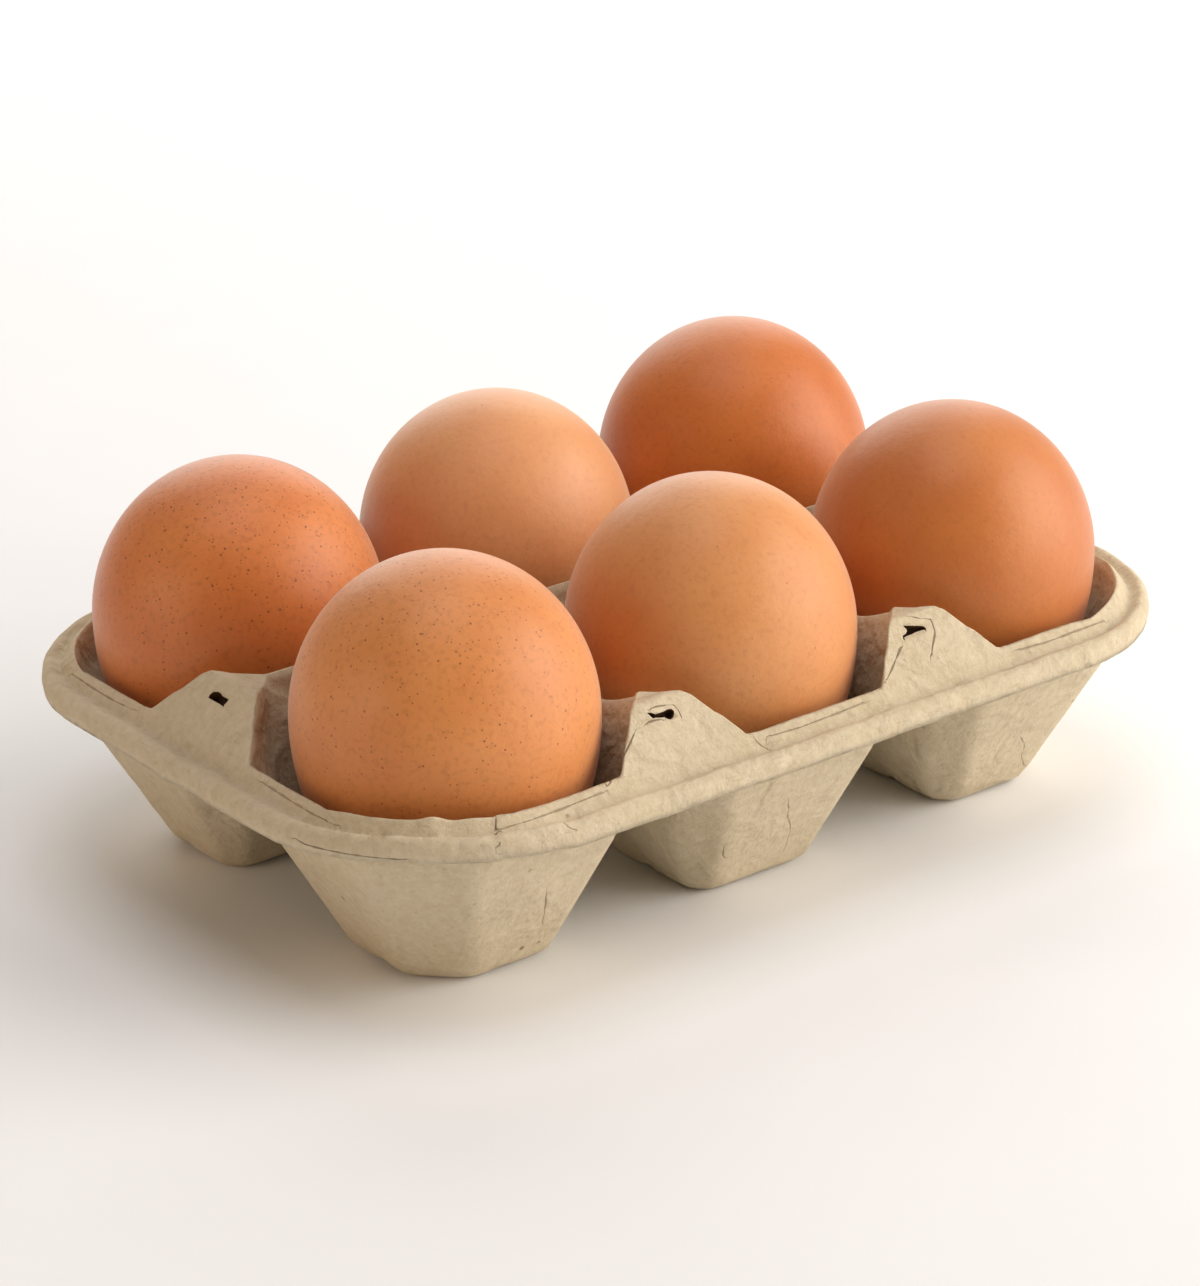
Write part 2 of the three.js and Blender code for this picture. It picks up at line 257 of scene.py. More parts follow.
def plan_points():
    """(x, y) of every grid node: rings follow the cup's section, lines beyond them lead to the ridges
    between cups or to the rim, and the rim's lines follow the outline."""
    columns = [a[None, :] for a in lines((-1, 0, 1), PITCH_X)]
    rows = [a[:, None] for a in lines((-0.5, 0.5), PITCH_Y)]
    cx, sx, nx, gx, rx, ox = np.broadcast_arrays(*columns, rows[0])[:6]
    cy, sy, ny, gy, ry, oy = np.broadcast_arrays(*rows, columns[0])[:6]
    ox, oy = ox > 0, oy > 0
    both = ox & oy

    def beyond(n, gap, rim):
        return n + 0.6 * gap + (RIM_FROM - rim)

    ex, ey = np.where(both, beyond(nx, gx, rx), nx), np.where(both, beyond(ny, gy, ry), ny)
    long = np.maximum(np.hypot(ex, ey), 1e-9)
    ux, uy = ex / long, ey / long
    n = np.maximum(nx, ny)
    at_ring = reach(ux, uy, lambda x, y: n - face_distance(x, y, both))
    at_ring = np.where(n > 0, at_ring, 0)
    px, py = at_ring * ux, at_ring * uy

    # towards a neighbouring cup the rings crowd up to the ridge line
    def crowd(far):
        room, rings = far - STOP_SHORT - CROWD_FROM, LAST - CROWD_FROM
        return np.where(n < CROWD_FROM, n, CROWD_FROM + (n - CROWD_FROM) * room / rings)

    px = np.where(ox, px, np.minimum(px, crowd(PITCH_X / 2)))
    py = np.where(oy, py, np.minimum(py, crowd(PITCH_Y / 2)))
    qx = px + gx * (np.where(ox, MARGIN - RIM_FROM, PITCH_X / 2) - px)
    qy = py + gy * (np.where(oy, MARGIN - RIM_FROM, PITCH_Y / 2) - py)
    qx = np.where(ox & (rx < RIM_FROM), MARGIN - rx, qx)
    qy = np.where(oy & (ry < RIM_FROM), MARGIN - ry, qy)

    # round the tray's corners a line keeps its inset from the curved outline
    gap, rim = np.maximum(gx, gy), np.minimum(rx, ry)
    at_rim = reach(ux, uy, lambda x, y: inset(PITCH_X + x, PITCH_Y / 2 + y) - rim)
    out = np.where(rim < RIM_FROM, at_rim, at_ring + gap * (at_rim - at_ring))
    qx, qy = np.where(both, out * ux, qx), np.where(both, out * uy, qy)
    return cx + sx * qx, cy + sy * qy


def unevenness(x, y):
    """Rise of the hand-made looking rim in mm: noise 6 and 2.5 mm across that fades out towards the
    eggs, a bump on the front left lip, a lump on the bead and a torn, doubled band to its right, and
    the edge turned up at that corner."""
    p = np.stack([x, y, 0 * x], -1)
    rough = 0.16 * lumps(p, 6.0, 3) + 0.09 * lumps(p, 2.5, 4)
    near_rim = 1 - ease((inset(x, y) - 5) / 5)
    bump = 0.7 * np.exp(-((x + 65.0) ** 2 + (y + 45.8) ** 2) / 3.2)
    lump = 0.4 * np.exp(-((x + 51.1) ** 2 + (y + 55.3) ** 2) / 1.6)
    corner = np.exp(-((x + 70.1) ** 2 + (y + 47.3) ** 2) / 250) * (1 - ease(inset(x, y) / 6))
    right_of_tear = ease(((x + 58.1) * 0.84 - (y + 51.0) * 0.54) / 0.5) * ease((-46 - x) / 9) * (y < -47)
    return near_rim * (rough - 0.1) + bump + lump + 0.3 * right_of_tear * near_rim + 1.3 * corner


def sheet_mesh():
    """Points and faces of the closed sheet: its top and underside over one grid, joined round the cut
    edge by a middle row that stands proud of both, as a rounded torn edge does."""
    x, y = plan_points()
    top = np.stack([x, y, top_height(x, y)], -1)
    under = np.stack([x, y, under_height(x, y)], -1)
    rise = unevenness(x, y)
    top[..., 2] += rise
    under[..., 2] += np.where(under[..., 2] > FEET_TOP, rise, 0)
    h, w = x.shape
    ids = np.arange(h * w).reshape(h, w)
    quads = np.stack([ids[:-1, :-1], ids[:-1, 1:], ids[1:, 1:], ids[1:, :-1]], -1).reshape(-1, 4)
    border = np.concatenate([ids[0, :-1], ids[:-1, -1], ids[-1, :0:-1], ids[:0:-1, 0]])
    rim_top, rim_under = top.reshape(-1, 3)[border], under.reshape(-1, 3)[border]
    middle = (rim_top + rim_under) / 2
    ahead = np.roll(middle, -1, 0) - np.roll(middle, 1, 0)
    out = np.stack([ahead[:, 1], -ahead[:, 0]], -1)
    middle[:, :2] += EDGE_PROUD * out / np.linalg.norm(out, axis=1, keepdims=True)
    mid = 2 * h * w + np.arange(len(border))
    after = np.roll(border, -1)
    upper = np.stack([border, mid, np.roll(mid, -1), after], -1)
    lower = np.stack([mid, border + h * w, after + h * w, np.roll(mid, -1)], -1)
    points = np.concatenate([top.reshape(-1, 3), under.reshape(-1, 3), middle])
    return points, np.concatenate([quads, quads[:, ::-1] + h * w, upper, lower])


# ---------------------------------------------------------------- torn slots near the gable tops
# Outlines on the sloping face: distance along the gable and height above the feet.
SLOTS = {
    "front_left": [(-27.3, 37.4), (-26.5, 37.2), (-26.0, 36.9), (-25.1, 36.9), (-24.3, 36.9),
                   (-23.4, 37.0), (-22.7, 36.9), (-22.4, 36.6), (-22.6, 36.2), (-23.0, 35.9),
                   (-23.7, 35.7), (-24.2, 35.9), (-24.6, 36.2), (-25.3, 36.3), (-26.2, 36.5),
                   (-26.7, 36.5), (-27.0, 36.9)],
    "front_right": [(21.2, 37.6), (23.1, 37.2), (24.8, 36.8), (25.2, 36.6), (25.3, 36.3),
                    (25.1, 35.9), (25.0, 36.2), (24.5, 36.3), (23.1, 36.3), (21.8, 36.2),
                    (20.9, 36.2), (20.3, 36.1), (20.2, 35.7), (20.0, 36.0), (20.2, 36.4),
                    (21.0, 36.5), (21.5, 36.8), (21.5, 37.1)],
    "left": [(3.1, 35.7), (3.2, 36.1), (2.8, 36.6), (1.8, 36.9), (1.0, 36.9), (0.2, 36.7),
             (-0.7, 36.7), (-1.6, 36.7), (-1.6, 36.3), (-1.4, 35.9), (-1.5, 35.6), (-0.4, 35.7),
             (0.9, 35.7), (2.3, 35.7)],
}
SLOT_OUT, SLOT_IN, SLOT_NARROW = 1.5, 5.0, 0.5     # reach of a cutter, and its inner end's share
PAINTED_SHADE_REACH, PAINTED_SHADE_FADE = 9, 4         # painted shade round a slot's middle ends here, over this far


def slot_side(name):
    """Outward direction of the side whose gable a slot is in."""
    return (0, -1) if name.startswith("front") else (-1, 0)


def on_slope(x, z, side):
    """Point on the sloping face of the rim, x along it and z high; side is its outward direction."""
    half = HALF_Y if side[1] else HALF_X
    out = half - GROOVE_IN - (z - GROOVE_Z) / SLOPE
    return (x, side[1] * out, z) if side[1] else (side[0] * out, x, z)


def slot_cutter(name, outline):
    """A plug through a gable: the outline carried out of the sloping face, and into it while it
    shrinks."""
    side = slot_side(name)
    face = np.array([on_slope(x, z, side) for x, z in outline])
    through = np.array([side[0] * SLOPE, side[1] * SLOPE, 1.0])
    through /= np.linalg.norm(through)
    n = len(face)
    middle = face.mean(0)
    inner = middle + SLOT_NARROW * (face - middle) - SLOT_IN * through
    points = np.concatenate([inner, face + SLOT_OUT * through])
    mesh = bpy.data.meshes.new("slot_" + name)
    around = [(i, (i + 1) % n, (i + 1) % n + n, i + n) for i in range(n)]
    mesh.from_pydata((points * MM).tolist(), [], around + [tuple(range(n))[::-1], tuple(range(n, 2 * n))])
    # the cutter's faces become the slot's walls and carry torn = 1, where the pulp gets painted shade
    mesh.attributes.new("torn", "FLOAT", "FACE").data.foreach_set("value", np.ones(n + 2))
    cutter = bpy.data.objects.new("slot_" + name, mesh)
    bpy.context.scene.collection.objects.link(cutter)
    outward(mesh)
    return cutter


def outward(mesh):
    """Turns every face of a closed mesh to point outwards."""
    shape = bmesh.new()
    shape.from_mesh(mesh)
    bmesh.ops.recalc_face_normals(shape, faces=shape.faces)
    shape.to_mesh(mesh)
    shape.free()


def cut(piece, cutters):
    """Takes the cutters' volumes out of a piece for good, and removes the cutters."""
    for cutter in cutters:
        slot = piece.modifiers.new(cutter.name, "BOOLEAN")
        slot.operation, slot.solver, slot.object = "DIFFERENCE", "MANIFOLD", cutter
    graph = bpy.context.evaluated_depsgraph_get()
    solid = bpy.data.meshes.new_from_object(piece.evaluated_get(graph), depsgraph=graph)
    piece.modifiers.clear()
    piece.data = solid
    for cutter in cutters:
        bpy.data.objects.remove(cutter)


# ---------------------------------------------------------------- creases and cracks
# On the sloping faces, as (x, z): the lifted edges of the front slots, and the folds beside gables.
SLOT_CREASES = [
    [(-26.0, 37.6), (-25.1, 37.6), (-24.2, 37.5), (-23.2, 37.4), (-22.3, 37.2), (-21.9, 36.7),
     (-22.0, 35.5)],
    [(-27.5, 36.3), (-26.8, 36.3), (-25.7, 36.2)],
    [(23.9, 38.0), (24.9, 37.6), (25.9, 37.4), (26.6, 37.1), (26.3, 35.7), (25.5, 35.0), (24.4, 34.1),
     (23.6, 33.2)],
]
GABLE_FOLDS = [
    [(-30.1, 35.9), (-33.2, 34.1), (-35.7, 32.7), (-38.1, 31.5)],
    [(-13.9, 33.2), (-13.4, 32.5), (-13.0, 31.9)],
    [(-12.0, 30.8), (-11.5, 30.0), (-10.6, 29.3)],
    [(19.2, 35.3), (16.4, 33.6), (13.9, 32.2)],
    [(34.1, 33.4), (35.6, 32.2)],
]
# On the front walls of the cups: (x from the cup's axis, z), by column.
WALL_CRACKS = {
    -1: [[(3.1, 16.0), (3.6, 13.9), (4.3, 12.9), (4.5, 10.6), (5.5, 8.6), (5.1, 7.7)]],
    0: [[(0.0, 14.6), (0.7, 11.8), (2.7, 9.0), (3.0, 6.8), (3.3, 4.5)],
        [(-10.4, 10.3), (-10.6, 9.2), (-9.7, 7.5)]],
    1: [[(-0.6, 11.0), (1.8, 8.1), (2.0, 6.0), (4.0, 3.2)]],
}


def vertex_points(mesh):
    """All vertices of a mesh in millimetres."""
    points = np.empty(len(mesh.vertices) * 3)
    mesh.vertices.foreach_get("co", points)
    return points.reshape(-1, 3) / MM


def shade_behind_slots(piece):
    """Stores the painted shade in the space behind a slot: 1 within 5 mm of the slot's middle on the
    sheet's underside, easing to 0 at 9 mm, and 0 on the top."""
    points = vertex_points(piece.data)
    under = top_height(points[:, 0], points[:, 1]) - points[:, 2] > 0.5 * SHEET
    shade = np.zeros(len(points))
    for name, outline in SLOTS.items():
        slot = np.mean([on_slope(x, z, slot_side(name)) for x, z in outline], axis=0)
        off = np.linalg.norm(points - slot, axis=1)
        shade = np.maximum(shade, ease((PAINTED_SHADE_REACH - off) / PAINTED_SHADE_FADE))
    piece.data.attributes.new("painted_slot_shade", "FLOAT", "POINT").data.foreach_set("value", shade * under)


# mm: distance stored where no crease is near, how far off a face a crease still marks, and its fade
CREASE_FAR, CREASE_OFF, CREASE_FADE = 9.0, 1.1, 1.2


def crease_paths():
    """Every crease as its points, the outward direction of the face it lies on, and its strength."""
    paths = []
    for side in ((0, -1), (0, 1), (-1, 0), (1, 0)):
        out = np.array([side[0], side[1], 1.0])
        folds = GABLE_FOLDS if side[1] else []
        if side == (0, -1):
            folds = folds + SLOT_CREASES
        paths += [([on_slope(x, z, side) for x, z in path], out, 0.8) for path in folds]
        cups = [c * PITCH_X for c in (-1, 0, 1)] if side[1] else [-PITCH_Y / 2, PITCH_Y / 2]
        for cup in cups:
            fold = [(cup - 9.5, 30.7), (cup - 4.0, 30.5), (cup + 2.0, 30.6), (cup + 8.5, 30.8)]
            paths.append(([on_slope(x, z, side) for x, z in fold], out, 0.55))
    for column, cracks in WALL_CRACKS.items():
        for crack in cracks:
            wall = [(column * PITCH_X + x, -(PITCH_Y / 2 + WALL_OUT + FLARE * z), z) for x, z in crack]
            paths.append((wall, np.array([0, -1.0, -FLARE]), 0.7))
    tear = [(-56.6, -48.6, 31.5), (-58.1, -51.0, 30.5), (-59.7, -53.4, 29.6)]
    nick = [(-49.6, -55.5, 29.6), (-48.8, -56.1, 29.4)]
    paths += [(tear, np.array([0, -0.5, 1.0]), 0.8), (nick, np.array([0, -0.3, 1.0]), 1.0)]
    a = np.radians(np.linspace(194, 223, 7))
    r = CORNER - 0.2
    edge = np.stack([r * np.cos(a) - (HALF_X - CORNER), r * np.sin(a) - (HALF_Y - CORNER),
                     EDGE_Z - 0.7 + 0 * a], -1)
    paths.append((edge, np.array([-0.87, -0.5, 0.0]), 0.9))
    return paths


def mark_creases(piece):
    """Stores for each vertex its distance from the nearest crease in mm, with a sign that tells the two
    sides apart so that a thin line stays sharp between vertices, and how strongly the crease shows,
    which fades as exp(-(distance / CREASE_FADE)^2)."""
    mesh = piece.data
    points = vertex_points(mesh)
    near, signed, shows = (np.full(len(points), v) for v in (CREASE_FAR, CREASE_FAR, 0.0))
    for path, out, strength in crease_paths():
        out = out / np.linalg.norm(out)
        for a, b in zip(np.array(path)[:-1], np.array(path)[1:]):
            along = b - a
            t = np.clip((points - a) @ along / (along @ along), 0, 1)
            off = points - a - t[:, None] * along
            height = off @ out
            off -= height[:, None] * out
            d = np.linalg.norm(off, axis=1)
            closer = (d < near) & (np.abs(height) < CREASE_OFF)
            near = np.where(closer, d, near)
            signed = np.where(closer, d * np.sign(off @ np.cross(out, along)), signed)
            shows = np.where(closer, strength * np.exp(-(d / CREASE_FADE) ** 2), shows)
    mesh.attributes.new("crease_distance", "FLOAT", "POINT").data.foreach_set("value", signed)
    mesh.attributes.new("crease_strength", "FLOAT", "POINT").data.foreach_set("value", shows)


# ---------------------------------------------------------------- materials
NOISE, VORONOI, RANGE = "ShaderNodeTexNoise", "ShaderNodeTexVoronoi", "ShaderNodeMapRange"
BUMP, MATH, MAPPING = "ShaderNodeBump", "ShaderNodeMath", "ShaderNodeMapping"
ATTRIBUTE = "ShaderNodeAttribute"


def colour(code):
    """Linear RGBA of an sRGB hex colour."""
    c = np.array([int(code[i:i + 2], 16) for i in (1, 3, 5)]) / 255
    return (*np.where(c <= 0.04045, c / 12.92, ((c + 0.055) / 1.055) ** 2.4), 1.0)


def add(tree, kind, inputs=(), **settings):
    """Adds a node; inputs pairs a socket's name or number with a value or another node's output."""
    made = tree.nodes.new(kind)
    for key, value in settings.items():
        setattr(made, key, value)
    for socket, value in dict(inputs).items():
        if isinstance(value, bpy.types.NodeSocket):
            tree.links.new(value, made.inputs[socket])
        else:
            made.inputs[socket].default_value = value
    return made


def new_material(name, **shader_values):
    """An empty material with its own Principled shader: returns it, its tree and the shader. Values are
    named for the shader's sockets, with _ for a space."""
    material = bpy.data.materials.new(name)
    material.use_nodes = True
    tree = material.node_tree
    tree.nodes.clear()
    values = {key.replace("_", " "): value for key, value in shader_values.items()}
    shader = add(tree, "ShaderNodeBsdfPrincipled", values)
    add(tree, "ShaderNodeOutputMaterial", {"Surface": shader.outputs["BSDF"]})
    return material, tree, shader


def blend_colour(tree, share, a, b):
    """Colour a where share is 0 and b where it is 1; a and b are colours or outputs."""
    mix = add(tree, "ShaderNodeMix", {0: share, 6: a, 7: b}, data_type="RGBA")
    return mix.outputs[2]


def pressed_pulp():
    """Moulded paper pulp: grey-beige recycled fibre felted on a wire mould and air dried. It is dead
    matt, softly mottled, with short fibres lying all ways and a few dark flecks of print and bark."""
    material, tree, shader = new_material(
        "pressed_paper_pulp", Roughness=0.93, IOR=1.45, Specular_IOR_Level=0.15)
    where = add(tree, "ShaderNodeTexCoord").outputs["Object"]

    # faint cloudy patches about 12 mm across, and felted clumps about 1.5 mm across
    clouds = add(tree, NOISE, {"Vector": where, "Scale": 80.0, "Detail": 3.0}).outputs["Fac"]
    clumps = add(tree, NOISE, {"Vector": where, "Scale": 700.0, "Detail": 4.0,
                               "Roughness": 0.6}).outputs["Fac"]
    cloudy = add(tree, RANGE, {"Value": clouds, "From Min": 0.35, "From Max": 0.68}).outputs[0]
    clumpy = add(tree, RANGE, {"Value": clumps, "From Min": 0.35,
                               "From Max": 0.7, "To Max": 0.7}).outputs[0]
    tone = blend_colour(tree, cloudy, colour("#c5b699"), colour("#cbbca1"))
    tone = blend_colour(tree, clumpy, tone, colour("#d5c9b1"))

    # fibres 3 mm long and 0.3 mm wide in two directions, drawn coarser than life so that they show
    for turn, scale in ((0.5, (330.0, 2600.0, 1400.0)), (-0.9, (2600.0, 420.0, 1400.0))):
        laid = add(tree, MAPPING, {"Vector": where, "Rotation": (0.3, turn, turn),
                                   "Scale": scale}).outputs[0]
        fibre = add(tree, NOISE, {"Vector": laid, "Scale": 1.0, "Detail": 2.0}).outputs["Fac"]
        dark = add(tree, RANGE, {"Value": fibre, "From Min": 0.6,
                                 "From Max": 0.78, "To Max": 0.3}).outputs[0]
        tone = blend_colour(tree, dark, tone, colour("#a08a66"))

    # flecks up to 0.9 mm across, one to every few square centimetres
    fleck = add(tree, VORONOI, {"Vector": where, "Scale": 210.0}).outputs["Distance"]
    chosen = add(tree, NOISE, {"Vector": where, "Scale": 190.0}).outputs["Fac"]
    spot = add(tree, RANGE, {"Value": fleck, "From Min": 0.12, "From Max": 0.06}).outputs[0]
    kept = add(tree, RANGE, {"Value": chosen, "From Min": 0.56,
                             "From Max": 0.62, "To Max": 0.7}).outputs[0]
    share = add(tree, MATH, {0: spot, 1: kept}, operation="MULTIPLY").outputs[0]
    tone = blend_colour(tree, share, tone, colour("#6a4f35"))

    # creases and cracks are gaps up to 0.3 mm wide that come and go, drawn in painted shadow; the walls
    # of the slots and the underside behind them get painted shade
    apart = add(tree, ATTRIBUTE, attribute_name="crease_distance").outputs["Fac"]
    shows = add(tree, ATTRIBUTE, attribute_name="crease_strength").outputs["Fac"]
    torn = add(tree, ATTRIBUTE, attribute_name="torn").outputs["Fac"]
    painted_slot_shade = add(tree, ATTRIBUTE, attribute_name="painted_slot_shade").outputs["Fac"]
    painted_shade = add(tree, MATH, {0: torn, 1: painted_slot_shade}, operation="MAXIMUM").outputs[0]
    wander = add(tree, NOISE, {"Vector": where, "Scale": 420.0, "Detail": 3.0}).outputs["Fac"]
    width = add(tree, RANGE, {"Value": wander, "From Min": 0.36, "From Max": 0.66,
                              "To Min": 0.05, "To Max": 0.34}).outputs[0]
    gap = add(tree, MATH, {0: apart}, operation="ABSOLUTE").outputs[0]
    line = add(tree, RANGE, {"Value": gap, "From Min": width, "From Max": 0.0}).outputs[0]
    crease = add(tree, MATH, {0: line, 1: shows}, operation="MULTIPLY").outputs[0]
    # painted shadow along the creases and cracks
    tone = blend_colour(tree, crease, tone, colour("#54381f"))
    # painted shade on the walls of the slots and on the underside behind them
    tone = blend_colour(tree, painted_shade, tone, colour("#4a3220"))
    tree.links.new(tone, shader.inputs["Base Color"])

    # soft wrinkles about 7 mm apart where the wet sheet dried, then the felt and its nap
    fuzz = add(tree, NOISE, {"Vector": where, "Scale": 1500.0, "Detail": 3.0,
                             "Roughness": 0.65}).outputs["Fac"]
    drape = add(tree, MAPPING, {"Vector": where, "Rotation": (0.2, 0.3, 0.6),
                                "Scale": (110.0, 210.0, 150.0)}).outputs[0]
    wrinkles = add(tree, NOISE, {"Vector": drape, "Scale": 1.0, "Detail": 2.0,
                                 "Distortion": 0.6}).outputs["Fac"]
    wavy = add(tree, BUMP, {"Height": wrinkles, "Strength": 0.75, "Distance": 0.0016}).outputs[0]
    felt = add(tree, BUMP, {"Height": clumps, "Strength": 0.5,
                            "Distance": 0.0005, "Normal": wavy}).outputs[0]
    nap = add(tree, BUMP, {"Height": fuzz, "Strength": 0.45,
                           "Distance": 0.00025, "Normal": felt}).outputs[0]
    depth = add(tree, MATH, {0: 1.0, 1: crease}, operation="SUBTRACT").outputs[0]
    folded = add(tree, BUMP, {"Height": depth, "Strength": 0.6,
                              "Distance": 0.0004, "Normal": nap}).outputs[0]
    tree.links.new(folded, shader.inputs["Normal"])
    return material


def eggshell(name, pale, deep, speckle, density):
    """Hen's eggshell: calcite with a thin brown bloom laid down last. It is satin, a little paler where
    the bloom is thin, grained by pores, and may be speckled with dark pigment towards the blunt end."""
    material, tree, shader = new_material(
        "eggshell_" + name, Roughness=0.46, IOR=1.45, Specular_IOR_Level=0.55, Sheen_Weight=0.4,
        Sheen_Roughness=0.4, Subsurface_Weight=0.12, Subsurface_Radius=(0.9, 0.35, 0.15),
        Subsurface_Scale=0.003)
    where = add(tree, "ShaderNodeTexCoord").outputs["Object"]

    # the bloom drifts over 15 mm and is finely grained at about 1 mm
    drift = add(tree, NOISE, {"Vector": where, "Scale": 60.0, "Detail": 2.0}).outputs["Fac"]
    grain = add(tree, NOISE, {"Vector": where, "Scale": 1100.0, "Detail": 3.0}).outputs["Fac"]
    drifting = add(tree, RANGE, {"Value": drift, "From Min": 0.3, "From Max": 0.7}).outputs[0]
    tone = blend_colour(tree, drifting, colour(pale), colour(deep))
    grained = add(tree, RANGE, {"Value": grain, "From Min": 0.5,
                                "From Max": 0.75, "To Max": 0.22}).outputs[0]
    tone = blend_colour(tree, grained, tone, colour(speckle))

    # pigment specks 0.2 to 0.4 mm across, thickest near the blunt end
    height = add(tree, "ShaderNodeSeparateXYZ", {0: where}).outputs["Z"]
    crowd = add(tree, RANGE, {"Value": height, "From Min": 0.030, "From Max": 0.056,
                              "To Min": 0.25 * density, "To Max": density}).outputs[0]
    for scale, size, weight in ((800.0, 0.18, 0.85), (1250.0, 0.22, 0.7)):
        cells = add(tree, VORONOI, {"Vector": where, "Scale": scale})
        lot = add(tree, "ShaderNodeSeparateColor", {0: cells.outputs["Color"]}).outputs[0]
        drawn = add(tree, MATH, {0: lot, 1: crowd}, operation="LESS_THAN").outputs[0]
        dot = add(tree, RANGE, {"Value": cells.outputs["Distance"], "From Min": size,
                                "From Max": size * 0.45, "To Max": weight}).outputs[0]
        share = add(tree, MATH, {0: drawn, 1: dot}, operation="MULTIPLY").outputs[0]
        tone = blend_colour(tree, share, tone, colour(speckle))
    tree.links.new(tone, shader.inputs["Base Color"])

    # pores about 0.4 mm apart, and a faint unevenness at 3 mm
    pores = add(tree, NOISE, {"Vector": where, "Scale": 2400.0, "Detail": 2.0}).outputs["Fac"]
    dents = add(tree, NOISE, {"Vector": where, "Scale": 380.0, "Detail": 2.0}).outputs["Fac"]
    uneven = add(tree, BUMP, {"Height": dents, "Strength": 0.25, "Distance": 0.0003}).outputs[0]
    pitted = add(tree, BUMP, {"Height": pores, "Strength": 0.35,
                              "Distance": 0.00008, "Normal": uneven}).outputs[0]
    tree.links.new(pitted, shader.inputs["Normal"])
    return material


# ---------------------------------------------------------------- the eggs
def egg_points(column, row, radius, blunt, lean_x, lean_y):
    """Egg surface: radius r cos t (1 - k sin^2 t below the equator) at height sin t times the half
    length of that end, for t from pole to pole and a full turn of angle a."""
    t = np.linspace(-np.pi / 2, np.pi / 2, EGG_UP + 1)[1:-1, None]
    a = np.linspace(0, 2 * np.pi, EGG_AROUND, endpoint=False)[None, :]
    down = np.minimum(np.sin(t), 0)
    r = radius * np.cos(t) * (1 - EGG_TAPER * down * down)
    z = np.where(t < 0, EGG_LOWER, blunt) * np.sin(t) + 0 * a
    points = np.stack([r * np.cos(a), r * np.sin(a), z], -1).reshape(-1, 3)
    points = np.concatenate([points, [[0, 0, -EGG_LOWER], [0, 0, blunt]]])
    return points + [column * PITCH_X + lean_x, row * PITCH_Y + lean_y, EQUATOR_Z]


def egg_faces():
    """Quads between the rings of an egg, and a fan of triangles at each pole."""
    ids = np.arange((EGG_UP - 1) * EGG_AROUND).reshape(EGG_UP - 1, EGG_AROUND)
    after = np.roll(ids, -1, 1)
    quads = np.stack([ids[:-1], after[:-1], after[1:], ids[1:]], -1).reshape(-1, 4)
    low, high = ids.size, ids.size + 1
    bottom = np.stack([after[0], ids[0], np.full(EGG_AROUND, low)], -1)
    top = np.stack([ids[-1], after[-1], np.full(EGG_AROUND, high)], -1)
    return quads.tolist() + bottom.tolist() + top.tolist()


SHELLS = {
    # name: pale and deep tones of the bloom, speckle colour, share of cells that carry a speck
    "egg_front_left": ("#de9354", "#d0803f", "#7d3d1b", 0.5),
    "egg_front_middle": ("#dd9a60", "#d2884a", "#a8623a", 0.03),
    "egg_front_right": ("#cf8040", "#c37032", "#a05a2a", 0.02),
    "egg_back_left": ("#dc8646", "#cb7234", "#66300f", 0.6),
    "egg_back_middle": ("#e6a876", "#dc965f", "#b87a52", 0.02),
    "egg_back_right": ("#d37c36", "#c56b29", "#8f4a20", 0.03),
}


# ---------------------------------------------------------------- make the carton
pulp = pressed_pulp()
points, faces = sheet_mesh()
tray = mesh_object("carton_sheet", points, faces.tolist(), pulp)
# the sheet's own faces carry torn = 0; the slot walls left by the cutters carry 1 and get painted shade
tray.data.attributes.new("torn", "FLOAT", "FACE")
cut(tray, [slot_cutter(name, outline) for name, outline in SLOTS.items()])
shade_behind_slots(tray)
mark_creases(tray)
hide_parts("pulp_tray")
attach(tray, "tray")

for node, sizes in EGGS.items():
    where = node.removeprefix("egg_")
    material = eggshell(where, *SHELLS[node])
    shell = mesh_object("shell_" + where, egg_points(*sizes), egg_faces(), material)
    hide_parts(node)
    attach(shell, where + "_egg")


# ---------------------------------------------------------------- floor, light and camera
BOARD_HALF, BOARD_Z = 4000.0, -0.05      # mm
AIM = (0, 0, 0.03)                       # what every lamp faces, in metres
CAMERA_AT = (-377.66, -494.65, 287.37)   # mm
AZIMUTH, ELEVATION, ROLL = -37.33, 22.77, -1.325   # degrees
FOCAL, LONG_SIDE = 4396 / 1286, 36       # focal length in long sides of the frame, and that side in mm


def plain_floor():
    """A wide pale matt board under the carton."""
    material, tree, shader = new_material("matt_white_board", Roughness=0.9)
    where = add(tree, "ShaderNodeTexCoord").outputs["Object"]
    tooth = add(tree, NOISE, {"Vector": where, "Scale": 40.0, "Detail": 2.0}).outputs["Fac"]
    tone = blend_colour(tree, tooth, colour("#f3f5f9"), colour("#f6f8fb"))
    tree.links.new(tone, shader.inputs["Base Color"])
    corners = np.array([[-1, -1], [1, -1], [1, 1], [-1, 1]]) * BOARD_HALF
    board = mesh_object("floor", np.c_[corners, np.full(4, BOARD_Z)], [[0, 1, 2, 3]], material)


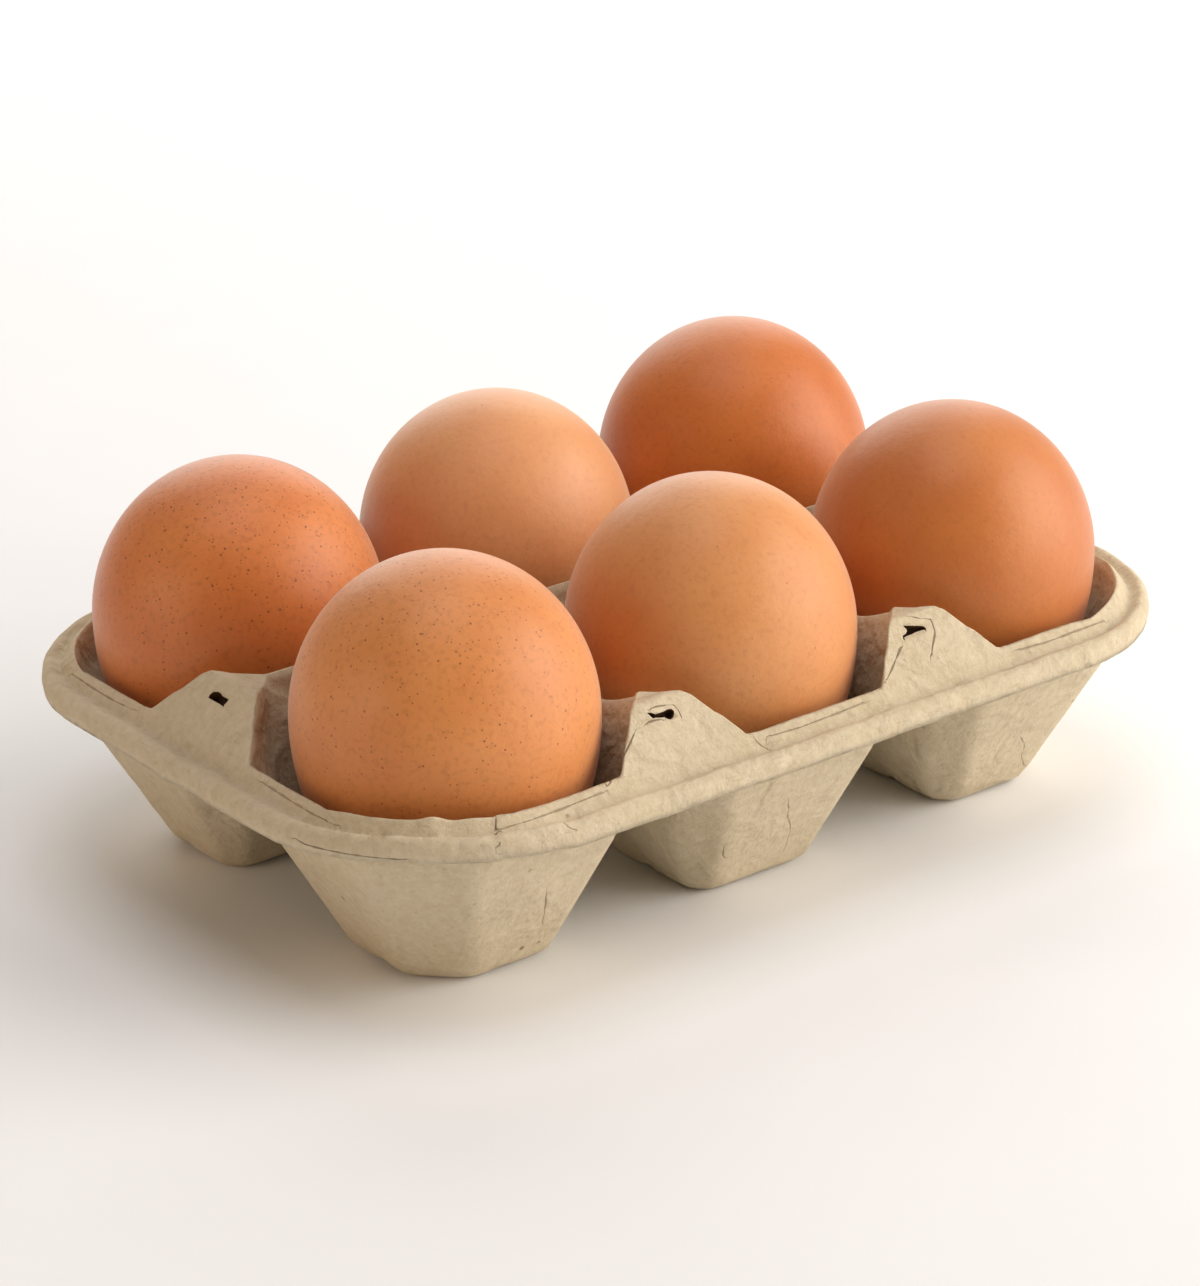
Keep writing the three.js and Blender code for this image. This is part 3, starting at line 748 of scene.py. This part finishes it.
def softbox(name, at, size, power, tint):
    """A square area light at a place in metres, facing the middle of the carton."""
    lamp = bpy.data.lights.new(name, "AREA")
    lamp.shape, lamp.size, lamp.energy, lamp.color = "SQUARE", size, power, colour(tint)[:3]
    light = bpy.data.objects.new(name, lamp)
    light.location = at
    light.rotation_euler = (Vector(AIM) - Vector(at)).to_track_quat("-Z", "Y").to_euler()
    bpy.context.scene.collection.objects.link(light)


def studio_walls():
    """Dim warm light from all round; past the edge of the board the walls show as white."""
    world = bpy.data.worlds.new("studio")
    world.use_nodes = True
    tree = world.node_tree
    tree.nodes.clear()
    seen = add(tree, "ShaderNodeLightPath").outputs["Is Camera Ray"]
    tint = blend_colour(tree, seen, colour("#ffe2c8"), colour("#fbfbfb"))
    power = add(tree, RANGE, {"Value": seen, "To Min": 0.13, "To Max": 1.0}).outputs[0]
    light = add(tree, "ShaderNodeBackground", {"Color": tint, "Strength": power}).outputs[0]
    add(tree, "ShaderNodeOutputWorld", {"Surface": light})
    bpy.context.scene.world = world


def set_camera():
    """Camera from its place, azimuth, elevation and roll, and its focal length for a 36 mm long side."""
    az, el, roll = math.radians(AZIMUTH), math.radians(ELEVATION), math.radians(ROLL)
    back = Vector((math.sin(az) * math.cos(el), -math.cos(az) * math.cos(el), math.sin(el)))
    level = Vector((math.cos(az), math.sin(az), 0))
    above = back.cross(level)
    right = math.cos(roll) * level + math.sin(roll) * above
    up = -math.sin(roll) * level + math.cos(roll) * above
    data = bpy.data.cameras.new("camera")
    data.lens, data.sensor_width = FOCAL * LONG_SIDE, LONG_SIDE
    camera = bpy.data.objects.new("camera", data)
    turn = Matrix((right, up, back)).transposed().to_4x4()
    camera.matrix_world = Matrix.Translation(Vector(CAMERA_AT) * MM) @ turn
    bpy.context.scene.collection.objects.link(camera)
    bpy.context.scene.camera = camera


plain_floor()
softbox("key_right", (0.73, -0.55, 0.44), 0.9, 11.5, "#fffaf3")
softbox("front_right", (0.3, -0.93, 0.24), 0.6, 2.2, "#fff0de")
softbox("back", (0.45, 0.72, 0.46), 0.9, 5.4, "#fffdf9")
softbox("above", (0.0, 0.0, 1.05), 0.7, 3.3, "#ffffff")
softbox("left", (-0.96, 0.12, 0.26), 0.6, 2.6, "#ffe6cc")
studio_walls()
bpy.context.scene.view_settings.view_transform = "Standard"
set_camera()
